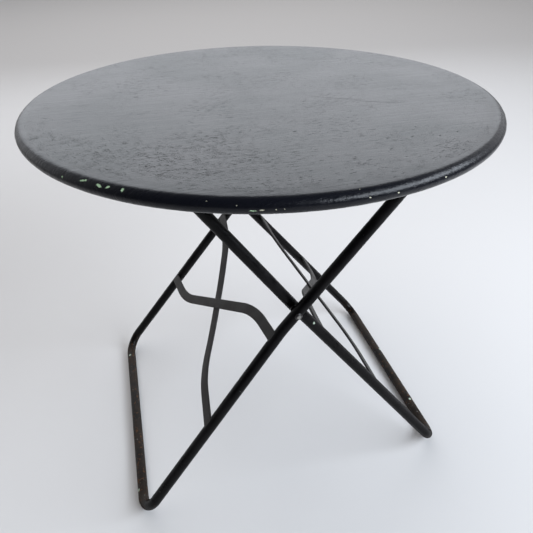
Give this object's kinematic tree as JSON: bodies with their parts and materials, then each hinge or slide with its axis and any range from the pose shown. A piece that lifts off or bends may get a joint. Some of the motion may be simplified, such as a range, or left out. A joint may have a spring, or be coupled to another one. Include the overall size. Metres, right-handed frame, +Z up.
{
  "type": "folding bistro table",
  "caption": "Round wooden folding bistro table on two crossed bent-tube frames with S-curved flat braces, hinged to one frame and caught on the other.",
  "frame": {"origin": "on the floor, under the centre of the top and the scissor pivot", "axes": "+Z up; X runs across the scissor, from the outer frame's foot (-X) to the inner frame's foot (+X); Y runs along the pivot and hinge axes, front at -Y"},
  "size_m": [0.7999, 0.7998, 0.72],
  "materials": {
    "painted_wood": "satin black paint over wood, with fine checks and green chips",
    "painted_tube": "satin black paint, scuffed",
    "painted_flat_bar": "matte dark grey-black paint",
    "painted_rivet": "black paint worn to bright metal on the crown",
    "dark_steel": "dark painted and slightly rusted steel"
  },
  "bodies": {
    "outer_frame": {"outer_frame": "painted_tube", "outer_brace_over": "painted_flat_bar", "outer_brace_under": "painted_flat_bar", "front_pivot_rivet": "painted_rivet", "rear_pivot_rivet": "painted_rivet", "front_pivot_spacer": "painted_rivet", "rear_pivot_spacer": "painted_rivet"},
    "inner_frame": {"inner_frame": "painted_tube", "inner_brace_over": "painted_flat_bar", "inner_brace_under": "painted_flat_bar", "inner_crossbar": "dark_steel"},
    "top": {"table_top": "painted_wood", "front_hinge_bracket": "dark_steel", "rear_hinge_bracket": "dark_steel", "front_hinge_pin": "dark_steel", "rear_hinge_pin": "dark_steel", "hinge_bracket_screws": "dark_steel", "front_catch": "dark_steel", "rear_catch": "dark_steel", "catch_screws": "dark_steel"}
  },
  "joints": [
    {"name": "top_tilt", "type": "hinge", "parent": "outer_frame", "child": "top", "pos_m": [0.21109, 0, 0.674], "axis": [0, 1, 0], "range_deg": [0, 90]},
    {"name": "leg_fold", "type": "hinge", "parent": "outer_frame", "child": "inner_frame", "pos_m": [0, 0, 0.416], "axis": [0, 1, 0], "range_deg": [0, 70]}
  ],
  "couplings": [
    {"joint": "leg_fold", "follows": "top_tilt", "ratio": 0.77778}
  ]
}
